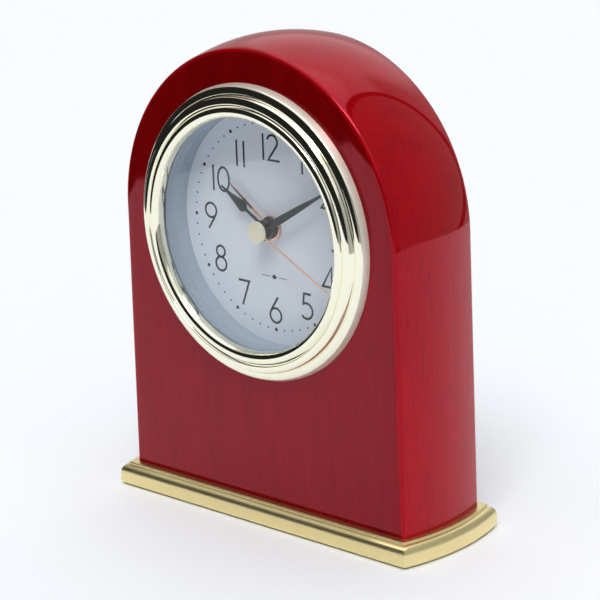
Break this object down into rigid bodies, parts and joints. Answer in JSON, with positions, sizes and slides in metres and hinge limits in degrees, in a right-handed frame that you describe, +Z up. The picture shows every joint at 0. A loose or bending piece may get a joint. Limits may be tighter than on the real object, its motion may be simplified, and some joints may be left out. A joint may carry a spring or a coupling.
{
  "type": "desk clock",
  "caption": "Arch-topped wooden desk clock on a stepped metal plinth, with a ribbed round bezel, a white dial, alarm hand and a battery movement behind it.",
  "frame": {"origin": "middle of the underside, on the surface the clock stands on", "axes": "+Z up, -Y out of the dial towards the viewer, +X to the viewer's right"},
  "size_m": [0.1222, 0.0439, 0.1451],
  "materials": {
    "red_lacquered_wood": "high-gloss red lacquer over fine dark grain",
    "gold_plated": "polished and satin gold-coloured plating",
    "steel": "plated steel",
    "felt": "dark green felt",
    "clear_glass": "clear flat glass",
    "white_plastic": "satin white moulding",
    "natural_plastic": "natural acetal",
    "black_plastic": "fine-textured black moulding",
    "dial_paint": "matt white paint, black print",
    "black_rubber": "black rubber",
    "black_paint": "semi-gloss black paint",
    "copper_tone": "copper-coloured plating",
    "brass": "bare brass",
    "magnet": "sintered magnet",
    "copper_wire": "enamelled copper wire",
    "board_green": "green circuit board",
    "red_plastic": "red switch slider",
    "cell_jacket": "plain blue cell jacket with a steel cap"
  },
  "bodies": {
    "case": {"wood_case": "red_lacquered_wood", "base_plinth": "gold_plated", "base_step_plate": "gold_plated", "felt_pad": "felt", "base_screws": "steel", "bezel_ring": "gold_plated", "glass_lens": "clear_glass", "lens_gasket": "white_plastic", "dial_surround": "white_plastic", "dial": "dial_paint", "insert_pan": "black_plastic", "insert_gasket": "black_rubber", "movement_front_case": "black_plastic", "movement_back_cover": "black_plastic", "movement_screws": "steel", "middle_plate": "natural_plastic", "train_bridge": "natural_plastic", "bridge_screws": "steel", "stator": "steel", "coil_core": "steel", "coil_bobbin": "white_plastic", "coil_winding": "copper_wire", "circuit_board": "board_green", "quartz_crystal": "steel", "drive_chip": "black_plastic", "piezo_buzzer": "brass", "battery_cell": "cell_jacket", "battery_contact_positive": "steel", "battery_contact_negative": "steel", "alarm_contact_spring": "steel"},
    "second_hand": {"second_wheel": "brass", "second_hand": "copper_tone", "hand_cap": "gold_plated"},
    "third_wheel": {"third_wheel": "natural_plastic"},
    "centre_wheel": {"centre_wheel": "brass"},
    "intermediate_wheel": {"intermediate_wheel": "natural_plastic"},
    "rotor": {"rotor_pinion": "natural_plastic", "rotor_magnet": "magnet"},
    "time_setting": {"time_set_knob": "black_plastic", "time_set_arbor": "natural_plastic"},
    "minute_wheel": {"minute_wheel": "natural_plastic"},
    "minute_hand": {"cannon_pinion": "brass", "minute_hand": "black_paint"},
    "hour_hand": {"hour_wheel": "natural_plastic", "hour_hand": "black_paint"},
    "alarm_setting": {"alarm_set_knob": "black_plastic", "alarm_set_arbor": "natural_plastic"},
    "alarm_hand": {"alarm_wheel": "natural_plastic", "alarm_hand": "copper_tone"},
    "alarm_switch": {"alarm_switch": "red_plastic"},
    "battery_door": {"battery_door": "black_plastic"}
  },
  "joints": [
    {"name": "second_hand_spin", "type": "hinge", "parent": "case", "child": "second_hand", "pos_m": [0, 0, 0.0889], "axis": [0, 1, 0], "continuous": true},
    {"name": "third_wheel_spin", "type": "hinge", "parent": "case", "child": "third_wheel", "pos_m": [-0.00837, 0, 0.08742], "axis": [0, 1, 0], "continuous": true},
    {"name": "centre_wheel_spin", "type": "hinge", "parent": "case", "child": "centre_wheel", "pos_m": [0, 0, 0.0889], "axis": [0, 1, 0], "continuous": true},
    {"name": "intermediate_wheel_spin", "type": "hinge", "parent": "case", "child": "intermediate_wheel", "pos_m": [0.00608, 0, 0.09498], "axis": [0, 1, 0], "continuous": true},
    {"name": "rotor_spin", "type": "hinge", "parent": "case", "child": "rotor", "pos_m": [0.00753, 0, 0.10039], "axis": [0, 1, 0], "continuous": true},
    {"name": "time_set_spin", "type": "hinge", "parent": "case", "child": "time_setting", "pos_m": [0.01561, 0, 0.08822], "axis": [0, 1, 0], "continuous": true},
    {"name": "minute_wheel_spin", "type": "hinge", "parent": "case", "child": "minute_wheel", "pos_m": [0.00773, 0, 0.08683], "axis": [0, 1, 0], "continuous": true},
    {"name": "minute_hand_spin", "type": "hinge", "parent": "case", "child": "minute_hand", "pos_m": [0, 0, 0.0889], "axis": [0, 1, 0], "continuous": true},
    {"name": "hour_hand_spin", "type": "hinge", "parent": "case", "child": "hour_hand", "pos_m": [0, 0, 0.0889], "axis": [0, 1, 0], "continuous": true},
    {"name": "alarm_set_spin", "type": "hinge", "parent": "case", "child": "alarm_setting", "pos_m": [-0.0048, 0, 0.09721], "axis": [0, 1, 0], "continuous": true},
    {"name": "alarm_hand_spin", "type": "hinge", "parent": "case", "child": "alarm_hand", "pos_m": [0, 0, 0.0889], "axis": [0, 1, 0], "continuous": true},
    {"name": "alarm_switch_slide", "type": "slide", "parent": "case", "child": "alarm_switch", "axis": [1, 0, 0], "range_m": [0, 0.004]},
    {"name": "battery_door_pull", "type": "slide", "parent": "case", "child": "battery_door", "axis": [0, 1, 0], "range_m": [0, 0.02]}
  ],
  "couplings": [
    {"joint": "third_wheel_spin", "follows": "second_hand_spin", "ratio": -0.13333},
    {"joint": "centre_wheel_spin", "follows": "second_hand_spin", "ratio": 0.016667},
    {"joint": "intermediate_wheel_spin", "follows": "second_hand_spin", "ratio": -5},
    {"joint": "rotor_spin", "follows": "second_hand_spin", "ratio": 30},
    {"joint": "minute_wheel_spin", "follows": "time_set_spin", "ratio": -0.33333},
    {"joint": "minute_hand_spin", "follows": "time_set_spin", "ratio": 1},
    {"joint": "hour_hand_spin", "follows": "time_set_spin", "ratio": 0.083333},
    {"joint": "alarm_hand_spin", "follows": "alarm_set_spin", "ratio": -0.33333}
  ]
}
